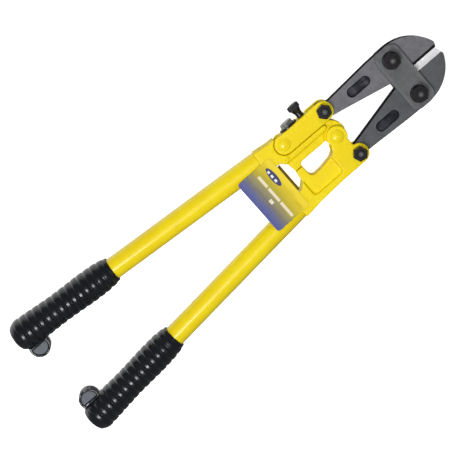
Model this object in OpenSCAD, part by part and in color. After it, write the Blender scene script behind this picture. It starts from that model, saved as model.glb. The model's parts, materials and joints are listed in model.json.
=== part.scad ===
// Bolt cutters: compound-lever cutter with two jaws between side plates, forged handle
// heads joined at a centre pivot, a gap-adjusting arm on the left head, and tube handles.
// The tool lies flat. +X runs to the jaw tips, +Y to the left handle, +Z up.
// The origin is on the centre pivot's axis, on the surface that the tool lies on.

/* [Overall] */
// Height of the tool's middle plane above the surface that it lies on
mid_z = 15; // [15:0.25:16]
// Gap between faces of pieces that turn against each other
side_gap = 0.3; // [0.2:0.05:0.4]
// Radial clearance of a pin in the bore that turns on it
pin_gap = 0.05; // [0.03:0.01:0.08]

/* [Jaws] */
// Thickness of each jaw
jaw_t = 12; // [10:0.5:12]
// Distance from the centre pivot to the jaw pins, along the tool
jaw_pin_x = 78.6; // [76:0.2:82]
// Distance from the middle line to each jaw pin
jaw_pin_y = 19.2; // [18:0.2:20]
// Distance from the centre pivot to the tail bolts, along the tool
tail_x = 5.4; // [5:0.2:6.4]
// Distance from the middle line to each tail bolt
tail_y = 24.6; // [24:0.2:25]
// Radius of the round eye at each jaw's tail
tail_eye_r = 7.8; // [7:0.1:7.9]
// Radius of the jaws' outer curve, from the widest point to the tip
nose_r = 38.4; // [38:0.2:41]
// Width of each ground bevel, measured across the jaw
bevel_w = 4.25; // [3:0.25:5]
// Length of the oval recess in each jaw's side
recess_l = 24.4; // [20:0.2:26]
// Width of the oval recess
recess_w = 9.4; // [8:0.2:10]
// Depth of the oval recess
recess_deep = 1; // [0.5:0.1:1.5]

/* [Side plates] */
// Width of each side plate, along the tool
plate_w = 24.6; // [22:0.2:26]
// Length of each side plate, across the tool
plate_l = 62.4; // [58:0.2:63]
// Thickness of each side plate
plate_t = 3; // [2.5:0.25:3.5]

/* [Handle heads] */
// Half the thickness of the thick parts of the heads and of the adjusting arm
head_half = 10.5; // [10:0.25:11]
// Half the thickness of the recessed webs of the heads
web_half = 7.25; // [7:0.25:8]
// Half the height of the left head's raised rib
rib_half = 9.4; // [8:0.2:10]
// Radius of the eye around the centre pivot
pivot_eye_r = 9.5; // [9:0.1:9.8]
// Radius of the adjusting arm's round ends, and of the lobe at the right tail bolt
arm_r = 9; // [8.8:0.1:9.2]
// Gap between the two stop noses when the handles are closed
stop_gap = 0.5; // [0.4:0.1:0.8]

/* [Handles] */
// Outside diameter of the tube handles
tube_d = 20; // [19.6:0.2:20.4]
// Wall of the tube handles
tube_wall = 2; // [1.5:0.25:2.5]
// Angle between each closed handle and the tool's middle line
handle_angle = 5; // [4.6:0.1:5.2]
// Length of each grip
grip_l = 108.4; // [104:0.2:112]
// Number of rings moulded round each grip
grip_rings = 14; // [10:1:18]
// Height of the rings
ring_h = 0.6; // [0.4:0.1:1]
// Radius of the stop lug at each grip's end
lug_r = 9.8; // [8:0.1:10]

/* [Fasteners] */
// Diameter of the jaw bolts
jaw_bolt_d = 10; // [9:0.5:10]
// Diameter of the tail bolts
tail_bolt_d = 8; // [7:0.5:8]
// Distance across the flats of the jaw bolts' heads and nuts
jaw_flats = 13.5; // [13:0.5:15]
// Distance across the flats of the tail bolts' heads and nuts
tail_flats = 12; // [11.5:0.5:13]

/* [Hidden] */
$fn = 64;

jaw_half = jaw_t / 2;
fork_half = jaw_half + side_gap;
plate_out = fork_half + plate_t;
e = 0.01;

// Places on the left half, in the tool's plane
pin_a = [jaw_pin_x, jaw_pin_y];
pin_b = [tail_x, tail_y];
pin_c = [-39.5, 25.2];
arm_len = pin_b.x - pin_c.x;
arm_tilt = atan2(pin_b.y - pin_c.y, arm_len);

// Jaw outline
seam = 0.15;
nose_c = [82.2, 31.5 - nose_r];
tip_y = 6.9;
tip_a = asin((tip_y - nose_c.y) / nose_r);
nose_back_x = nose_c.x + nose_r * cos(tip_a) - 1.6;
nose_steps = 32;
bevel_x0 = jaw_pin_x + 7;
bevel_len = 50;
edge_land = 0.25;
recess_at = [42.8, 20];
throat = [[84, seam], [76.5, 1.2], [63.9, 3.5]];
outer_mid = [60, 31];
outer_tail = [15, 28.4];

// Fasteners
washer_t = 1.5;
washer_r = 8;
jaw_nut_h = 7.4;
tail_nut_h = 6.4;
bolt_end = 1.3;
nut_turn = 10;
jaw_seat = plate_out + washer_t;

// Centre pivot
pivot_pin_r = 4;
pivot_slack = 2.3;
pivot_slot_r = 12;
thick_clear_r = pivot_eye_r + 1.8;

// Inner side of the right head's slot for the jaw's tail, from the tail bolt
tail_slot = 9.7;

// Punch mark in the right head's front face
dimple_at = [-54.4, -24.6];
dimple_r = 0.9;

// Screws through the arm's outer wall
wall_in = 30.2;
wall_out = 33.3;
tongue_top = 29;
adjust_x = -12;
adjust_r = 3.3;
adjust_top = 46.4;
lock_x = -26.3;
lock_r = 4;
lock_washer_t = 1.5;
lock_head_t = 3.8;

// Handle axis: a point on it and the lengths along it
axis_at = [-60, 26.9];
spigot_u = [4, 38];
tube_u = [7, 270];
grip_u0 = 167.5;
grip_u1 = grip_u0 + grip_l;
ring_u0 = grip_u0 + 3;
ring_u1 = grip_u1 - 6.6;
ring_pitch = (ring_u1 - ring_u0) / grip_rings;
pin_us = [14, 28];
tube_pin_r = 1.5;
lug_at = [-322, 33];
lug_half = 6;
lug_rim = 2.1;
lug_deep = 1.4;

// Card
card_w = 36.8;
card_l = 55.6;
card_t = 0.5;
card_r = 2.5;
card_at = [-75.6, -2];
lip_y = [-13.4, 14.4];
lip_w = 2.6;
lip_drop = 3;
pad_t = 0.3;
slit_at = [-64.6, -26.6];
slit_w = 0.7;
slit_l = 8;

module at_mid() { translate([0, 0, mid_z]) children(); }
module other_side() { mirror([0, 1, 0]) children(); }
module both_faces() {
    children();
    mirror([0, 0, 1]) children();
}

// A plate from low to high about the middle plane
module slab(low, high) { translate([0, 0, low]) linear_extrude(high - low) children(); }

// A bar with two round ends, along +X from the first end's centre
module round_bar(length, radius) {
    translate([0, -radius]) square([length, 2 * radius]);
    circle(radius);
    translate([length, 0]) circle(radius);
}

module rounded_rect(w, l, r) {
    square([w - 2 * r, l], center = true);
    square([w, l - 2 * r], center = true);
    for (sx = [-1, 1], sy = [-1, 1])
        translate([sx * (w / 2 - r), sy * (l / 2 - r)]) circle(r);
}

// A hexagon prism with its top corners turned off
module hex_block(flats, high, edge = 0.8) {
    corner_r = flats / 2 / cos(30);
    intersection() {
        cylinder(h = high, r = corner_r, $fn = 6);
        rotate_extrude()
            polygon([[0, 0], [corner_r + e, 0], [corner_r + e, high - edge],
                [flats / 2 - 0.2, high], [0, high]]);
    }
}

// A shank with a turned-off end at the top
module shank(r, low, high, edge = 0.8) {
    translate([0, 0, low]) rotate_extrude()
        polygon([[0, 0], [r, 0], [r, high - low - edge], [r - edge, high - low], [0, high - low]]);
}

// A low dome on a flat base
module dome(r, high) {
    ball = (r * r + high * high) / (2 * high);
    rotate_extrude() intersection() {
        translate([0, high - ball]) circle(ball, $fn = 128);
        square([r, high]);
    }
}

// ---- Jaws ----

module jaw_outline() {
    difference() {
        union() {
            polygon(concat(
                [throat[0], [nose_back_x, seam]],
                [for (k = [0:nose_steps]) let (t = tip_a + (90 - tip_a) * k / nose_steps)
                    nose_c + nose_r * [cos(t), sin(t)]],
                [outer_mid, outer_tail, [pin_b.x + 5, pin_b.y + 4.6], pin_b,
                    [pin_b.x, pin_b.y - tail_eye_r], throat[2], throat[1]]
            ));
            translate(pin_b) circle(tail_eye_r);
        }
        translate(pin_a) circle(jaw_bolt_d / 2 + pin_gap);
        translate(pin_b) circle(tail_bolt_d / 2 + pin_gap);
    }
}

// The wedge of metal that grinding takes off one face of the blade
module bevel_wedge() {
    translate([bevel_x0, 0, 0]) rotate([90, 0, 90]) linear_extrude(bevel_len)
        polygon([[seam - 2, edge_land], [seam, edge_land],
            [seam + bevel_w, jaw_half], [seam + bevel_w, jaw_half + 1], [seam - 2, jaw_half + 1]]);
}

module jaw() {
    at_mid() difference() {
        slab(-jaw_half, jaw_half) jaw_outline();
        both_faces() bevel_wedge();
        both_faces() translate([recess_at.x - (recess_l - recess_w) / 2, recess_at.y, 0])
            slab(jaw_half - recess_deep, jaw_half + 1)
                round_bar(recess_l - recess_w, recess_w / 2);
    }
}

module jaw_left() { color("dimgray") jaw(); }
module jaw_right() { color("dimgray") other_side() jaw(); }

// ---- Side plates and jaw bolts ----

module side_plate(low, high) {
    color("gray") at_mid() slab(low, high) difference() {
        translate([jaw_pin_x, 0]) rounded_rect(plate_w, plate_l, 8);
        for (s = [-1, 1]) translate([pin_a.x, s * pin_a.y]) circle(jaw_bolt_d / 2);
    }
}

module side_plate_front() { side_plate(fork_half, plate_out); }
module side_plate_rear() { side_plate(-plate_out, -fork_half); }

module washers() {
    color("black") for (s = [-1, 1]) translate([pin_a.x, s * pin_a.y, 0]) difference() {
        cylinder(h = washer_t, r = washer_r);
        translate([0, 0, -1]) cylinder(h = washer_t + 2, r = jaw_bolt_d / 2);
    }
}

module jaw_washers_front() { at_mid() translate([0, 0, plate_out]) washers(); }
module jaw_washers_rear() { at_mid() translate([0, 0, -plate_out - washer_t]) washers(); }

// A bolt whose hexagon head stands on the resting surface
module bolt(d, flats, seat, end) {
    shank(d / 2, -seat, end, 1);
    translate([0, 0, -seat]) mirror([0, 0, 1]) hex_block(flats, mid_z - seat);
}

module nut(d, flats, high) {
    difference() {
        hex_block(flats, high);
        translate([0, 0, -1]) cylinder(h = high + 2, r = d / 2);
    }
}

module jaw_bolt() {
    color("black") at_mid() translate(pin_a)
        bolt(jaw_bolt_d, jaw_flats, jaw_seat, jaw_seat + jaw_nut_h + bolt_end);
}

module jaw_nut() {
    color("black") at_mid() translate([pin_a.x, pin_a.y, jaw_seat])
        rotate(nut_turn) nut(jaw_bolt_d, jaw_flats, jaw_nut_h);
}

module jaw_bolt_left() { jaw_bolt(); }
module jaw_bolt_right() { other_side() jaw_bolt(); }
module jaw_nut_left() { jaw_nut(); }
module jaw_nut_right() { other_side() jaw_nut(); }

module tail_bolt() {
    color("black") at_mid() translate(pin_b)
        bolt(tail_bolt_d, tail_flats, head_half, head_half + tail_nut_h + bolt_end);
}

module tail_nut() {
    color("black") at_mid() translate([pin_b.x, pin_b.y, head_half])
        rotate(nut_turn) nut(tail_bolt_d, tail_flats, tail_nut_h);
}

module tail_bolt_left() { tail_bolt(); }
module tail_bolt_right() { other_side() tail_bolt(); }
module tail_nut_left() { tail_nut(); }
module tail_nut_right() { other_side() tail_nut(); }

// ---- Adjusting arm and its screws ----

// A straight band parallel to the arm's centre line, drawn from the arm's rivet
module along_arm() { translate(pin_c) rotate(arm_tilt) children(); }

module arm_shape(grow = 0) { along_arm() round_bar(arm_len, arm_r + grow); }

module adjusting_arm() {
    color("gold") at_mid() difference() {
        union() {
            both_faces() slab(fork_half, head_half) arm_shape();
            slab(-fork_half - e, fork_half + e) difference() {
                translate([-38, wall_in]) square([32, wall_out - wall_in]);
                translate(pin_b) circle(tail_eye_r + 1);
            }
        }
        translate([pin_b.x, pin_b.y, -20]) cylinder(h = 40, r = tail_bolt_d / 2);
        translate([pin_c.x, pin_c.y, -20]) cylinder(h = 40, r = pivot_pin_r + pin_gap);
        translate([adjust_x, 60, 0]) rotate([90, 0, 0]) cylinder(h = 40, r = adjust_r + pin_gap);
        translate([lock_x, 60, 0]) rotate([90, 0, 0]) cylinder(h = 40, r = lock_r + pin_gap);
        // flat seat that the screws' outer ends stand on
        translate([-38.1, wall_out, -20]) cube([32.1, 20, 40]);
    }
}

module rivet(front_h, rear_h, head_r) {
    translate([0, 0, -head_half - e]) cylinder(h = 2 * head_half + 2 * e, r = pivot_pin_r);
    translate([0, 0, head_half]) dome(head_r, front_h);
    translate([0, 0, -head_half]) mirror([0, 0, 1]) rotate_extrude()
        polygon([[0, 0], [head_r, 0], [head_r, rear_h - 1], [head_r - 1, rear_h], [0, rear_h]]);
}

module arm_rivet() { color("gold") at_mid() translate(pin_c) rivet(1.8, 2, 6); }
module centre_pivot_pin() { color("gold") at_mid() rivet(2.2, mid_z - head_half, 6.5); }

module adjusting_screw() {
    head_h = 4.6;
    neck_h = 4.2;
    color("black") at_mid() translate([adjust_x, tongue_top + 0.4, 0]) rotate([-90, 0, 0]) {
        length = adjust_top - tongue_top - 0.4;
        rotate_extrude()
            polygon([[0, 0], [adjust_r - 0.6, 0], [adjust_r, 0.6],
                [adjust_r, length - head_h - neck_h], [adjust_r + 1.6, length - head_h],
                [adjust_r + 1.6, length - 1], [0, length - 1]]);
        translate([0, 0, length - head_h]) hex_block(10, head_h);
    }
}

module lock_washer() {
    color("black") at_mid() translate([lock_x, wall_out, 0]) rotate([-90, 0, 0]) difference() {
        cylinder(h = lock_washer_t, r = 8.8);
        translate([0, 0, -1]) cylinder(h = lock_washer_t + 2, r = lock_r + pin_gap);
    }
}

module lock_bolt() {
    seat = wall_out + lock_washer_t + 0.15;
    color("slategray") at_mid() translate([lock_x, 0, 0]) rotate([-90, 0, 0]) {
        translate([0, 0, 19]) cylinder(h = seat - 19, r = lock_r);
        translate([0, 0, seat]) rotate(30) hex_block(12, lock_head_t);
    }
}

// ---- Handle heads ----

// Part of the head that the two halves share, from the tube to the stop nose
head_tube_end = [[-66, 37.1], [-66, 17.1], [-53.2, 14.8], [-48.8, 10.6], [-47.5, 2]];

module head_left_outline() {
    polygon(concat(head_tube_end, [
        [-47.5, stop_gap / 2], [-40.2, stop_gap / 2], [-39.4, 2.4], [-37.6, 3.4], [-9, 2.8],
        [9.6, -1], [10.6, 2.5], [10.1, 7], [7.6, 12], [3.6, 15.9], [-4.8, 17],
        [-4.8, tongue_top], [-46, tongue_top], [-50, 34.9]
    ]));
    circle(9);
}

// The stop nose and the thin web next to the window
module left_web_outline() {
    polygon([[-52, 12], [-48.8, 10.6], [-47.5, 2], [-47.5, stop_gap / 2], [-40.2, stop_gap / 2],
        [-39.4, 2.4], [-37.6, 3.4], [-9, 2.8], [0, 2.8], [0, 12]]);
}

module left_rib_outline() {
    translate([-50, 10.7]) square([46, 8]);
    translate([-4, 13.4]) circle(2.7);
}

module tube_end_outline() {
    polygon([[-66, 37.1], [-66, 17.1], [-53.2, 14.8], [-48.8, 10.6], [-47.5, 10.7],
        [-44, 14], [-44, 34.9], [-50, 34.9]]);
}

// The round boss that the tube is pressed on, along the handle's axis
module along_handle() { translate(axis_at) rotate(180 - handle_angle) children(); }

module spigot() {
    along_handle() rotate([0, 90, 0]) {
        cylinder(h = spigot_u[1], r = tube_d / 2 - tube_wall);
        cylinder(h = tube_u[0], r = tube_d / 2 + 0.4);
    }
}

module tube_pin_holes() {
    for (u = pin_us) along_handle() translate([u, 0, -20]) cylinder(h = 40, r = tube_pin_r);
}

module handle_head_left() {
    color("gold") at_mid() difference() {
        union() {
            slab(-jaw_half, jaw_half) head_left_outline();
            difference() {
                union() {
                    slab(-head_half, head_half) tube_end_outline();
                    slab(-web_half, web_half) left_web_outline();
                    slab(-rib_half, rib_half) left_rib_outline();
                }
                both_faces() slab(jaw_half, 20) arm_shape(0.5);
                both_faces() slab(jaw_half, 20) circle(thick_clear_r);
            }
            spigot();
        }
        translate([0, 0, -20]) cylinder(h = 40, r = pivot_pin_r + pivot_slack);
        translate([pin_c.x, pin_c.y, -20]) cylinder(h = 40, r = pivot_pin_r);
        translate([lock_x, 60, 0]) rotate([90, 0, 0]) cylinder(h = 43, r = lock_r + 0.7);
        tube_pin_holes();
    }
}

module head_right_outline() {
    other_side() {
        polygon(concat(head_tube_end, [
            [-47.5, stop_gap / 2], [-40.2, stop_gap / 2], [-39.8, 9], [-38.8, 11.8], [-35.8, 13.2],
            [-28.5, 12.8], [-18, 11], [-13.8, 9.7], [-11.6, 7.8], [-10.2, 4], [0, 0], [7.2, 3], [6, 8],
            [6, 15.4], pin_b, [pin_b.x, pin_b.y + arm_r], [-22, 33.6], [-48, 34.9]
        ]));
        translate(pin_b) circle(arm_r);
    }
    circle(pivot_eye_r);
}

module right_panel_outline() {
    other_side() {
        translate([-32.1, 18.6]) rounded_rect(33, 18, 3.5);
        translate([-45, -2]) square([29.4, 20]);
        polygon([[-49.6, -2], [-30, -2], [-30, 13.5], [-46, 13.5], [-48.8, 10.6]]);
    }
}

module handle_head_right() {
    color("gold") at_mid() difference() {
        union() {
            slab(-head_half, head_half) head_right_outline();
            other_side() spigot();
        }
        both_faces() slab(web_half, 20) right_panel_outline();
        translate([dimple_at.x, dimple_at.y, head_half - 0.6]) cylinder(h = 1, r = dimple_r);
        // slot for the left head's tongue, open at both sides of the centre pivot
        slab(-fork_half, fork_half) {
            circle(pivot_slot_r);
            translate([-pivot_slot_r, 0]) square([2 * pivot_slot_r, 20]);
        }
        // slot for the right jaw's tail, open at the front and the outside
        slab(-fork_half, fork_half) {
            translate([pin_b.x, -pin_b.y]) circle(tail_eye_r + 0.6);
            translate([pin_b.x, -pin_b.y - 20]) square([20, 20 + tail_slot]);
        }
        translate([0, 0, -20]) cylinder(h = 40, r = pivot_pin_r);
        translate([pin_b.x, -pin_b.y, -20]) cylinder(h = 40, r = tail_bolt_d / 2);
        other_side() tube_pin_holes();
    }
}

// ---- Handles ----

module handle_tube() {
    color("gold") at_mid() difference() {
        along_handle() translate([tube_u[0], 0, 0]) rotate([0, 90, 0]) difference() {
            cylinder(h = tube_u[1] - tube_u[0], r = tube_d / 2);
            translate([0, 0, -1])
                cylinder(h = tube_u[1] - tube_u[0] + 2, r = tube_d / 2 - tube_wall);
        }
        tube_pin_holes();
    }
}

module handle_tube_left() { handle_tube(); }
module handle_tube_right() { other_side() handle_tube(); }

module tube_pins() {
    color("gold") at_mid() for (u = pin_us) along_handle() translate([u, 0, -tube_d / 2 + 0.2])
        cylinder(h = tube_d - 0.4, r = tube_pin_r);
}

module tube_pins_left() { tube_pins(); }
module tube_pins_right() { other_side() tube_pins(); }

// Outer radius of a grip between its rings, u along the handle
function grip_r(u) = lookup(u - grip_u0, [
    [0, 11.6], [4, 12.2], [14, 13.5], [30, 13.8], [44, 13.4], [60, 13.1],
    [76, 13.6], [88, 14.1], [98, 14.3], [grip_l, 14.3]
]);

module grip_profile() {
    polygon(concat(
        [[tube_d / 2, grip_u0], [grip_r(grip_u0), grip_u0], [grip_r(ring_u0), ring_u0]],
        [for (k = [0:grip_rings - 1], part = [0.12, 0.24, 0.76, 0.88])
            let (u = ring_u0 + (k + part) * ring_pitch)
            [grip_r(u) + (part > 0.2 && part < 0.8 ? ring_h : 0), u]],
        [[grip_r(ring_u1), ring_u1], [mid_z - 1.4, grip_u1 - 5], [mid_z - 3.5, grip_u1 - 1.6],
            [mid_z - 7, grip_u1], [0, grip_u1], [0, tube_u[1]], [tube_d / 2, tube_u[1]]]
    ));
}

module lug_recess() {
    translate([lug_at.x, lug_at.y, lug_half - lug_deep]) difference() {
        cylinder(h = 10, r = lug_r - lug_rim);
        translate([-20, 1.4, -1]) cube([40, 20, 20]);
    }
}

module grip() {
    color("black") at_mid() difference() {
        union() {
            along_handle() rotate([0, 90, 0]) rotate_extrude() grip_profile();
            difference() {
                translate([lug_at.x, lug_at.y, -lug_half]) cylinder(h = 2 * lug_half, r = lug_r);
                along_handle() rotate([0, 90, 0]) cylinder(h = 400, r = tube_d / 2 + 1);
            }
        }
        both_faces() lug_recess();
    }
}

module grip_left() { grip(); }
module grip_right() { other_side() grip(); }

// ---- Label ----

// A thin blank card across both handles, with a slit in its corner, held by a pad on the
// right head
module label_card() {
    color("olive") at_mid() {
        slab(head_half + pad_t, head_half + pad_t + card_t) difference() {
            translate(card_at) rounded_rect(card_w, card_l, card_r);
            translate(slit_at) square([slit_w, slit_l]);
        }
        slab(head_half, head_half + pad_t + e) translate([-62.6, -27]) square([4.4, 9]);
        // lip that bends down between the handles
        translate([card_at.x + card_w / 2 - 1, lip_y[1], head_half + pad_t]) rotate([90, 0, 0])
            linear_extrude(lip_y[1] - lip_y[0])
                polygon([[0, 0], [1, 0], [1 + lip_w - card_t, -lip_drop],
                    [1 + lip_w, -lip_drop], [1.2, card_t], [0, card_t]]);
    }
}

jaw_left();
jaw_right();
side_plate_front();
side_plate_rear();
jaw_bolt_left();
jaw_bolt_right();
jaw_nut_left();
jaw_nut_right();
jaw_washers_front();
jaw_washers_rear();
adjusting_arm();
arm_rivet();
tail_bolt_left();
tail_bolt_right();
tail_nut_left();
tail_nut_right();
handle_head_left();
handle_head_right();
centre_pivot_pin();
adjusting_screw();
lock_bolt();
lock_washer();
handle_tube_left();
handle_tube_right();
tube_pins_left();
tube_pins_right();
grip_left();
grip_right();
label_card();
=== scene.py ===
"""Bolt cutters: looks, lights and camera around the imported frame. Metres, +Z up."""
import json
import math

import bmesh
import bpy
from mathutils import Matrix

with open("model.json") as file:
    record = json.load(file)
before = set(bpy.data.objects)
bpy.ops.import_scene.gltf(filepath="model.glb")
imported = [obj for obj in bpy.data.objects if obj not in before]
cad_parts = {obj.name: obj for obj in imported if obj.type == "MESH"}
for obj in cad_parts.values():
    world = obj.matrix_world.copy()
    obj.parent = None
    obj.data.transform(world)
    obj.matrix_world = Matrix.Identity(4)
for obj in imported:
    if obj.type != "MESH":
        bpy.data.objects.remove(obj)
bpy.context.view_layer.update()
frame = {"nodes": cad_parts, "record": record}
nodes = frame["nodes"]


# ---- Material helpers ----

class Graph:
    """Builds one material's nodes. Numbers go to sockets, sockets are linked."""

    def __init__(self, name, **sockets):
        self.mat = bpy.data.materials.new(name)
        self.mat.use_nodes = True
        self.tree = self.mat.node_tree
        self.bsdf = self.tree.nodes["Principled BSDF"]
        for key, value in sockets.items():
            self.bsdf.inputs[key.replace("_", " ")].default_value = value
        self.place = self.add("ShaderNodeTexCoord", out="Object")
        self.pointy = self.add("ShaderNodeNewGeometry", out="Pointiness")
        self.nz = self.split(self.add("ShaderNodeTexCoord", out="Normal"))[2]
        self.x, self.y, _ = self.split(self.place)

    def add(self, kind, inputs=None, out=0, **props):
        made = self.tree.nodes.new(kind)
        for key, value in props.items():
            setattr(made, key, value)
        for key, value in (inputs or {}).items():
            self.feed(made.inputs[key], value)
        return made.outputs[out]

    def feed(self, socket, value):
        if isinstance(value, bpy.types.NodeSocket):
            self.tree.links.new(value, socket)
        elif hasattr(value, "__len__") and len(value) == 3 and socket.type == "RGBA":
            socket.default_value = (*value, 1)
        else:
            socket.default_value = value

    def split(self, vector):
        made = self.tree.nodes.new("ShaderNodeSeparateXYZ")
        self.tree.links.new(vector, made.inputs[0])
        return made.outputs

    def math(self, operation, a, b=0.0, clamp=False):
        return self.add("ShaderNodeMath", {0: a, 1: b}, operation=operation, use_clamp=clamp)

    def plus(self, a, b, clamp=False):
        return self.math("ADD", a, b, clamp)

    def minus(self, a, b):
        return self.math("SUBTRACT", a, b)

    def times(self, a, b):
        return self.math("MULTIPLY", a, b)

    def size(self, a):
        return self.math("ABSOLUTE", a)

    def length(self, a, b):
        return self.math("SQRT", self.plus(self.times(a, a), self.times(b, b)))

    def step(self, value, low, high, to_low=0.0, to_high=1.0):
        """A smooth change of value from low to high, held outside them."""
        return self.add(
            "ShaderNodeMapRange",
            {"Value": value, "From Min": low, "From Max": high,
             "To Min": to_low, "To Max": to_high},
            interpolation_type="SMOOTHSTEP",
        )

    def band(self, value, low, high, soft):
        """1 between low and high and 0 outside them, with soft edges."""
        rise = self.step(value, low - soft, low + soft)
        fall = self.step(value, high - soft, high + soft, 1.0, 0.0)
        return self.times(rise, fall)

    def noise(self, size, detail, rough=0.55, stretch=(1, 1, 1), shift=0.0):
        """Noise whose features are about size metres across, from 0 to 1."""
        where = self.add(
            "ShaderNodeMapping",
            {"Vector": self.place, "Location": (shift, shift, shift),
             "Scale": tuple(s / size for s in stretch)},
        )
        return self.add(
            "ShaderNodeTexNoise",
            {"Vector": where, "Scale": 1.0, "Detail": detail, "Roughness": rough},
            out="Fac",
        )

    def mix(self, factor, a, b):
        """A colour that goes from a to b with the factor."""
        made = self.tree.nodes.new("ShaderNodeMix")
        made.data_type = "RGBA"
        self.feed(made.inputs[0], factor)
        self.feed(made.inputs[6], a)
        self.feed(made.inputs[7], b)
        return made.outputs[2]

    def level(self, factor, a, b):
        """A number that goes from a to b with the factor."""
        made = self.tree.nodes.new("ShaderNodeMix")
        self.feed(made.inputs[0], factor)
        self.feed(made.inputs[2], a)
        self.feed(made.inputs[3], b)
        return made.outputs[0]

    def bump(self, height, depth, strength, under=None):
        """A normal for height times depth metres, on top of the normal under it."""
        inputs = {"Height": height, "Distance": depth, "Strength": strength}
        if under is not None:
            inputs["Normal"] = under
        return self.add("ShaderNodeBump", inputs)

    def finish(self, color, roughness, normal=None, metallic=None):
        self.feed(self.bsdf.inputs["Base Color"], color)
        self.feed(self.bsdf.inputs["Roughness"], roughness)
        if normal is not None:
            self.feed(self.bsdf.inputs["Normal"], normal)
        if metallic is not None:
            self.feed(self.bsdf.inputs["Metallic"], metallic)
        return self.mat


# ---- Measures of the CAD that the paint follows, in metres, on the +Y side ----

# Where the painted highlights sit on the bolt ends.
BOLT_END_HIGHLIGHTS = [(0.0786, 0.0192), (0.0054, 0.0246)]
BEVEL_START = (0.0853, 0.0860)
OVAL_X, OVAL_Y = 0.0428, 0.020
OVAL_HALF_SLOT = 0.0075
OVAL_RIM = (0.0042, 0.0048)
HANDLE_X, HANDLE_Y = -0.060, 0.0269
HANDLE_TILT = math.radians(5)
RING_FROM = 0.1705
RING_PITCH = 0.007057
RING_COUNT = 14
LUG_X, LUG_Y, LUG_R = -0.322, 0.0330, 0.0077
LUG_WALL = (0.0338, 0.0344)

# ---- Ring crowns, painted highlights and print, in metres ----

RING_CROWN = 0.00034
# Painted highlights: bands just inside the side plates' two long edges.
EDGE_HIGHLIGHT_LINES = ((0.0668, 0.0690), (0.0883, 0.0903))
CARD_TONES = (
    (-0.0925, (0.075, 0.09, 0.30)),
    (-0.0880, (0.11, 0.12, 0.27)),
    (-0.0845, (0.17, 0.16, 0.15)),
    (-0.0795, (0.28, 0.25, 0.12)),
    (-0.0740, (0.46, 0.38, 0.02)),
    (-0.0665, (0.66, 0.50, 0.01)),
    (-0.0600, (0.86, 0.66, 0.02)),
)
CARD_BARS = (
    (-0.0765, -0.0739, 0.0070, 0.0192),
    (-0.0765, -0.0739, -0.0095, 0.0052),
    (-0.0765, -0.0739, -0.0272, -0.0113),
    (-0.0826, -0.0795, -0.0075, -0.0030),
)
BADGE_X, BADGE_Y = -0.0653, 0.0102
BADGE_HALF_X, BADGE_HALF_Y = 0.0031, 0.0103


# ---- Materials ----


def yellow_paint(name, cast):
    """Gloss enamel. cast is how far the rough forging shows through it, from 0 to 1."""
    g = Graph(name, Specular_IOR_Level=0.5 - 0.25 * cast)
    cloud = g.noise(0.03, 2.0)
    specks = g.noise(0.0012, 2.0, shift=3.0)
    color = g.mix(g.step(cloud, 0.35, 0.7), (0.87, 0.66, 0.006), (0.91, 0.73, 0.008))
    color = g.mix(g.step(specks, 0.5, 0.8, 0.0, 0.3), color, (0.82, 0.58, 0.006))
    # Painted shade: concave corners and hollows, found by low pointiness, are darkened
    # towards olive.
    crease_shade = g.step(g.pointy, 0.40, 0.485, 1.0, 0.0)
    color = g.mix(g.times(crease_shade, 0.4), color, (0.40, 0.27, 0.006))
    edge = g.step(g.pointy, 0.53, 0.60)
    chips = g.times(edge, g.step(g.noise(0.004, 3.0, shift=7.0), 0.66, 0.72))
    color = g.mix(g.times(chips, 0.3), color, (0.50, 0.38, 0.05))
    glossy, matt = 0.20 + 0.15 * cast, 0.27 + 0.18 * cast
    rough = g.step(g.noise(0.008, 3.0, shift=1.0), 0.3, 0.7, glossy, matt)
    forge = g.noise(0.0035, 3.0, 0.5, shift=5.0)
    peel = g.noise(0.0016, 1.0, 0.4, shift=9.0)
    normal = g.bump(forge, 0.0004 * cast + 0.00004, 0.5)
    normal = g.bump(peel, 0.00006, 0.5, normal)
    return g.finish(color, rough, normal)


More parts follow.
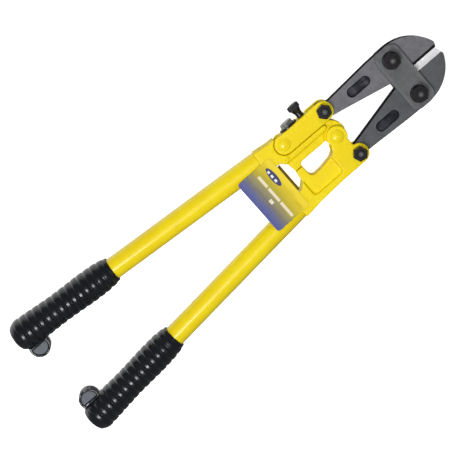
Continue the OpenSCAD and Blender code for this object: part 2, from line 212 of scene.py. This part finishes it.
def jaw_steel(name, side):
    """Satin faces, black flanks, and a ground bevel coloured near-white as a painted
    reflection. side is +1 left, -1 right.
    """
    g = Graph(name, Specular_IOR_Level=0.0)
    up = g.size(g.nz)
    flat = g.step(up, 0.80, 0.97)
    mottle = g.noise(0.006, 4.0, 0.6)
    fine = g.noise(0.0008, 2.0, shift=2.0)
    tone = (0.205, 0.205, 0.222) if side > 0 else (0.132, 0.135, 0.144)
    dark = tuple(0.78 * v for v in tone)
    face = g.mix(g.step(mottle, 0.3, 0.7), dark, tone)
    face = g.mix(g.step(fine, 0.5, 0.8, 0.0, 0.35), face, tuple(1.3 * v for v in tone))
    flank = g.mix(mottle, (0.012, 0.012, 0.014), (0.03, 0.03, 0.033))
    color = g.mix(flat, flank, face)

    # Painted reflection: the ground bevel is coloured near-white, with greyer grind lines,
    # where it would shine. The left jaw's band is only 1.3 mm wide against the right's 4.8
    # mm, so the rest of its bevel keeps the near-black flank colour as painted shade, since
    # it faces away from the light.
    across = g.times(g.y, -side)
    edge_x = g.step(g.x, *BEVEL_START)
    reach = 0.0013 if side > 0 else 0.0048
    ground = g.times(g.band(across, -reach, 0.002, 0.0001), edge_x)
    ground = g.times(ground, g.band(up, 0.35, 0.85, 0.05))
    grind = g.noise(0.0012, 3.0, 0.6, stretch=(1, 0.05, 0.05), shift=4.0)
    bright = (0.97, 0.97, 0.98)
    shade = tuple(0.88 * v for v in bright)
    color = g.mix(ground, color, g.mix(grind, shade, bright))

    along = g.minus(g.size(g.minus(g.x, OVAL_X)), OVAL_HALF_SLOT)
    along = g.math("MAXIMUM", along, 0.0)
    off = g.minus(g.times(g.y, side), OVAL_Y)
    far = g.length(along, off)
    # The oval recess is coloured near-black by a patchy amount, and a thin ring at its rim
    # is painted shade.
    patchy = g.step(g.noise(0.009, 2.0, shift=6.0), 0.38, 0.62, 0.62, 0.90)
    oval = g.times(g.step(far, *OVAL_RIM, 1.0, 0.0), patchy)
    rim_shade = g.times(g.band(far, 0.0036, 0.0047, 0.0004), 0.3)
    oval = g.plus(oval, rim_shade, clamp=True)
    color = g.mix(oval, color, (0.012, 0.012, 0.020))

    rough = g.step(mottle, 0.3, 0.7, 0.42, 0.55)
    rough = g.level(ground, rough, 0.34)
    metal = g.level(ground, g.times(flat, 0.3), 0.05)
    normal = g.bump(mottle, 0.00012, 0.4)
    normal = g.bump(fine, 0.00003, 0.5, normal)
    normal = g.bump(grind, 0.00003, 0.4, normal)
    return g.finish(color, rough, normal, metal)


def plate_steel(name):
    """Brushed satin plate, with a painted highlight just inside its two long edges."""
    g = Graph(name)
    mottle = g.noise(0.005, 4.0, 0.6, shift=1.0)
    fine = g.noise(0.0007, 2.0, shift=2.0)
    brushed = g.noise(0.0008, 2.0, 0.6, stretch=(1, 0.06, 1), shift=4.0)
    face = g.mix(g.step(mottle, 0.3, 0.7), (0.098, 0.100, 0.106), (0.128, 0.130, 0.138))
    flank = g.mix(mottle, (0.02, 0.02, 0.022), (0.045, 0.045, 0.05))
    color = g.mix(g.step(g.size(g.nz), 0.6, 0.95), flank, face)
    color = g.mix(g.step(fine, 0.5, 0.8, 0.0, 0.3), color, (0.14, 0.14, 0.15))
    # Painted highlight: a lighter band just inside each long edge of the plate.
    edge_highlight = g.plus(*(g.band(g.x, start, end, 0.0008) for start, end in EDGE_HIGHLIGHT_LINES))
    color = g.mix(g.times(edge_highlight, 0.5), color, (0.155, 0.155, 0.165))
    rough = g.step(mottle, 0.3, 0.7, 0.36, 0.5)
    normal = g.bump(brushed, 0.00004, 0.5)
    normal = g.bump(mottle, 0.0001, 0.35, normal)
    return g.finish(color, rough, normal)


def black_oxide(name):
    """Black fasteners, with a painted highlight in the middle of each bolt's end."""
    g = Graph(name)
    tint = g.noise(0.004, 3.0)
    fine = g.noise(0.0006, 3.0, shift=6.0)
    color = g.mix(g.step(tint, 0.3, 0.7), (0.008, 0.010, 0.008), (0.014, 0.011, 0.016))
    color = g.mix(g.step(fine, 0.55, 0.8, 0.0, 0.5), color, (0.028, 0.026, 0.024))
    aside = g.size(g.y)
    # Painted highlight: a grey spot on each bolt's end, its edge wobbled by the tint noise.
    for at_x, at_y in BOLT_END_HIGHLIGHTS:
        far = g.length(g.minus(g.x, at_x), g.minus(aside, at_y))
        far = g.plus(far, g.times(tint, 0.0012))
        color = g.mix(g.step(far, 0.0012, 0.0034, 0.55, 0.0), color, (0.20, 0.20, 0.21))
    rough = g.step(fine, 0.3, 0.7, 0.24, 0.42)
    normal = g.bump(fine, 0.00003, 0.5)
    return g.finish(color, rough, normal)


def zinc_steel(name):
    """Grey zinc plating with a soft spangle."""
    g = Graph(name)
    spangle = g.noise(0.003, 4.0, 0.6)
    fine = g.noise(0.0005, 2.0, shift=6.0)
    color = g.mix(g.step(spangle, 0.3, 0.7), (0.26, 0.27, 0.26), (0.42, 0.42, 0.41))
    rough = g.step(spangle, 0.3, 0.7, 0.38, 0.5)
    normal = g.bump(fine, 0.00003, 0.5)
    return g.finish(color, rough, normal, 0.8)


def grip_rubber(name, side):
    """Glossy vinyl with crowned rings, and a greyer matt floor in the stop lug's recess.

    side is +1 left, -1 right.
    """
    g = Graph(name, Specular_IOR_Level=0.5)
    cloud = g.noise(0.012, 3.0)
    fine = g.noise(0.0005, 2.0, shift=6.0)
    color = g.mix(cloud, (0.003, 0.004, 0.006), (0.007, 0.008, 0.012))

    far = g.length(g.minus(g.x, LUG_X), g.minus(g.y, side * LUG_Y))
    recess = g.step(far, LUG_R - 0.0004, LUG_R + 0.0002, 1.0, 0.0)
    inner = g.step(g.times(g.y, side), *LUG_WALL, 1.0, 0.0)
    recess = g.times(g.times(recess, inner), g.step(g.size(g.nz), 0.7, 0.9))
    matt = g.mix(g.noise(0.002, 3.0, shift=2.0), (0.09, 0.10, 0.12), (0.15, 0.16, 0.19))
    color = g.mix(recess, color, matt)
    rough = g.step(cloud, 0.3, 0.7, 0.22, 0.30)
    rough = g.level(recess, rough, 0.6)

    out = g.times(g.plus(g.x, -HANDLE_X), -math.cos(HANDLE_TILT))
    aside = g.minus(g.times(g.y, side), HANDLE_Y)
    along = g.plus(out, g.times(aside, math.sin(HANDLE_TILT)))
    part = g.math("FRACT", g.math("DIVIDE", g.minus(along, RING_FROM), RING_PITCH))
    crown = g.times(g.times(part, g.minus(1.0, part)), 4.0)
    ringed = g.band(along, RING_FROM, RING_FROM + RING_COUNT * RING_PITCH, 0.0005)
    normal = g.bump(g.times(crown, ringed), RING_CROWN, 1.0)
    normal = g.bump(fine, 0.00003, 0.4, normal)
    return g.finish(color, rough, normal)


def label_print(name):
    """Printed card: blue to olive to yellow along the tool, plain bars and a plain oval, and
    painted shade on its tilted faces.
    """
    g = Graph(name, Specular_IOR_Level=0.3, Coat_Weight=0.05, Coat_Roughness=0.2)
    speckle = g.noise(0.0008, 2.0)
    wobble = g.times(g.minus(g.noise(0.02, 2.0, shift=3.0), 0.5), 0.006)
    along = g.plus(g.x, wobble)
    color = CARD_TONES[0][1]
    for (x0, _), (x1, tone) in zip(CARD_TONES, CARD_TONES[1:]):
        color = g.mix(g.step(along, x0, x1), color, tone)

    cream = (0.80, 0.72, 0.52)
    for x0, x1, y0, y1 in CARD_BARS:
        mask = g.times(g.band(g.x, x0, x1, 0.0002), g.band(g.y, y0, y1, 0.0002))
        color = g.mix(mask, color, cream)

    ox = g.math("DIVIDE", g.minus(g.x, BADGE_X), BADGE_HALF_X)
    oy = g.math("DIVIDE", g.minus(g.y, BADGE_Y), BADGE_HALF_Y)
    oval = g.plus(g.times(ox, ox), g.times(oy, oy))
    color = g.mix(g.step(oval, 0.94, 1.0, 1.0, 0.0), color, (0.035, 0.04, 0.14))
    blocks = g.times(g.band(ox, -0.55, 0.15, 0.05), g.band(oy, -0.70, 0.70, 0.03))
    gaps = g.step(g.math("SINE", g.times(oy, 13.0)), -0.35, -0.15)
    color = g.mix(g.times(blocks, gaps), color, (0.82, 0.82, 0.80))

    # Painted shade: faces that tilt away from flat, such as the card's edges, are coloured
    # dark brown.
    face = g.step(g.size(g.nz), 0.75, 0.95)
    color = g.mix(face, (0.16, 0.11, 0.02), color)
    color = g.mix(g.step(speckle, 0.5, 0.8, 0.0, 0.12), color, (0.9, 0.85, 0.7))
    rough = g.step(speckle, 0.3, 0.7, 0.35, 0.48)
    normal = g.bump(g.noise(0.015, 2.0, shift=8.0), 0.0005, 0.25)
    return g.finish(color, rough, normal)


CAST_PIECES = ("handle_head_left", "handle_head_right", "adjusting_arm")
GRIPS = ("grip_left", "grip_right")
JAWS = ("jaw_left", "jaw_right")
SIDE_PLATES = ("side_plate_front", "side_plate_rear")
WASHERS = ("jaw_washers_front", "jaw_washers_rear", "lock_washer")

paint_cast = yellow_paint("paint_on_forging", 1.0)
SLOT_LOOKS = {
    "yellow_paint": yellow_paint("paint_on_tube", 0.0),
    "plate_steel": plate_steel("plate_steel"),
    "black_oxide": black_oxide("black_oxide"),
    "zinc_steel": zinc_steel("zinc_steel"),
    "label_card": label_print("label_print"),
}
LOOKS = {
    "jaw_left": jaw_steel("jaw_steel_left", 1),
    "jaw_right": jaw_steel("jaw_steel_right", -1),
    "grip_left": grip_rubber("grip_rubber_left", 1),
    "grip_right": grip_rubber("grip_rubber_right", -1),
}
for name in CAST_PIECES:
    LOOKS[name] = paint_cast

for part in frame["record"]["subparts"]:
    piece = nodes[part["node"]]
    piece.data.materials.clear()
    piece.data.materials.append(LOOKS.get(part["node"]) or SLOT_LOOKS[part["material_slot"]])


# ---- Soft edges ----

def soften(piece, voxel, rounds):
    """Rounds every edge of a cast or moulded piece: an even mesh, then smoothed."""
    remesh = piece.modifiers.new("even", "REMESH")
    remesh.mode = "VOXEL"
    remesh.voxel_size = voxel
    remesh.use_smooth_shade = True
    smooth = piece.modifiers.new("soft", "SMOOTH")
    smooth.factor = 0.5
    smooth.iterations = rounds


def break_edges(piece, width, segments):
    """A small round along every crisp edge of a machined piece."""
    flat = piece.modifiers.new("flat", "DECIMATE")
    flat.decimate_type = "DISSOLVE"
    flat.angle_limit = math.radians(0.5)
    bevel = piece.modifiers.new("edges", "BEVEL")
    bevel.width = width
    bevel.segments = segments
    bevel.limit_method = "ANGLE"
    bevel.angle_limit = math.radians(30)
    even = piece.modifiers.new("shading", "WEIGHTED_NORMAL")
    even.weight = 100
    even.keep_sharp = True


for name in CAST_PIECES:
    soften(nodes[name], 0.00045, 26)
for name in GRIPS:
    soften(nodes[name], 0.0004, 6)
for name in JAWS:
    break_edges(nodes[name], 0.0004, 3)
for name in SIDE_PLATES:
    break_edges(nodes[name], 0.0008, 3)
for name in nodes:
    if "nut" in name or "bolt" in name or name in WASHERS:
        break_edges(nodes[name], 0.0003, 2)


# ---- Floor, light and camera ----

CAMERA_AT = (-0.034953, 0.220447, 1.278519)
CAMERA_TURN = (-0.181, -0.065, -0.718)
SENSOR_MM = 36.0
LENS_MM = 110.526740


def floor():
    """White paper that throws no light or reflection back on the tool."""
    mesh = bpy.data.meshes.new("floor")
    shape = bmesh.new()
    bmesh.ops.create_grid(shape, size=4)
    shape.to_mesh(mesh)
    shape.free()
    made = bpy.data.objects.new("floor", mesh)
    bpy.context.scene.collection.objects.link(made)
    look = Graph("floor_paper", Emission_Color=(1, 1, 1, 1), Emission_Strength=0.8)
    tone = look.mix(look.noise(0.4, 2.0), (0.86, 0.86, 0.86), (0.88, 0.88, 0.88))
    mesh.materials.append(look.finish(tone, 0.9))
    made.visible_diffuse = False
    made.visible_glossy = False


def softbox(name, tilt_y, tilt_x, size_x, size_y, energy, far=1.6, aim_x=-0.12):
    """A light far metres off, tilted in degrees from straight above towards +Y and +X."""
    light = bpy.data.lights.new(name, "AREA")
    light.energy = energy
    light.shape = "RECTANGLE"
    light.size = size_x
    light.size_y = size_y
    made = bpy.data.objects.new(name, light)
    bpy.context.scene.collection.objects.link(made)
    ty, tx = math.radians(tilt_y), math.radians(tilt_x)
    height = far * math.cos(ty) * math.cos(tx)
    made.location = (aim_x + far * math.sin(tx), far * math.sin(ty), height)
    made.rotation_euler = (-ty, tx, 0)
    return made


def studio_world():
    """A dim, even sky, with a bright glow at and below the horizon on the +Y side."""
    world = bpy.data.worlds.new("studio")
    bpy.context.scene.world = world
    world.use_nodes = True
    tree = world.node_tree
    back = tree.nodes["Background"]

    def add(kind, links, **props):
        made = tree.nodes.new(kind)
        for key, value in props.items():
            setattr(made, key, value)
        for key, value in links.items():
            if isinstance(value, bpy.types.NodeSocket):
                tree.links.new(value, made.inputs[key])
            else:
                made.inputs[key].default_value = value
        return made.outputs[0]

    def math_node(operation, a, b):
        return add("ShaderNodeMath", {0: a, 1: b}, operation=operation)

    def rise(value, low, high, a, b):
        return add(
            "ShaderNodeMapRange",
            {"Value": value, "From Min": low, "From Max": high, "To Min": a, "To Max": b},
            interpolation_type="SMOOTHSTEP",
        )

    way = tree.nodes.new("ShaderNodeTexCoord").outputs["Generated"]
    axes = tree.nodes.new("ShaderNodeSeparateXYZ")
    tree.links.new(way, axes.inputs[0])
    x, y, z = axes.outputs
    sky = rise(z, -0.05, 0.9, 0.20, 0.18)
    side = math_node("ADD", math_node("MULTIPLY", y, 0.9), math_node("MULTIPLY", x, -0.3))
    glow = rise(side, 0.12, 0.40, 0.0, 1.2)
    low = rise(z, -0.30, 0.12, 1.0, 0.0)
    glow = math_node("MULTIPLY", glow, low)
    tree.links.new(math_node("ADD", sky, glow), back.inputs["Strength"])
    back.inputs["Color"].default_value = (1, 1, 1, 1)


def camera():
    data = bpy.data.cameras.new("camera")
    made = bpy.data.objects.new("camera", data)
    bpy.context.scene.collection.objects.link(made)
    made.location = CAMERA_AT
    made.rotation_euler = CAMERA_TURN
    data.sensor_width = SENSOR_MM
    data.lens = LENS_MM
    bpy.context.scene.camera = made


floor()
studio_world()
softbox("overhead", 8, -6, 0.8, 0.8, 10.4).visible_glossy = False
softbox("glint", 45, 8, 0.12, 0.12, 0.3, 0.42, 0.1).visible_glossy = False
softbox("strip", -5, -20, 0.45, 0.34, 11)
camera()
bpy.context.scene.view_settings.view_transform = "Standard"
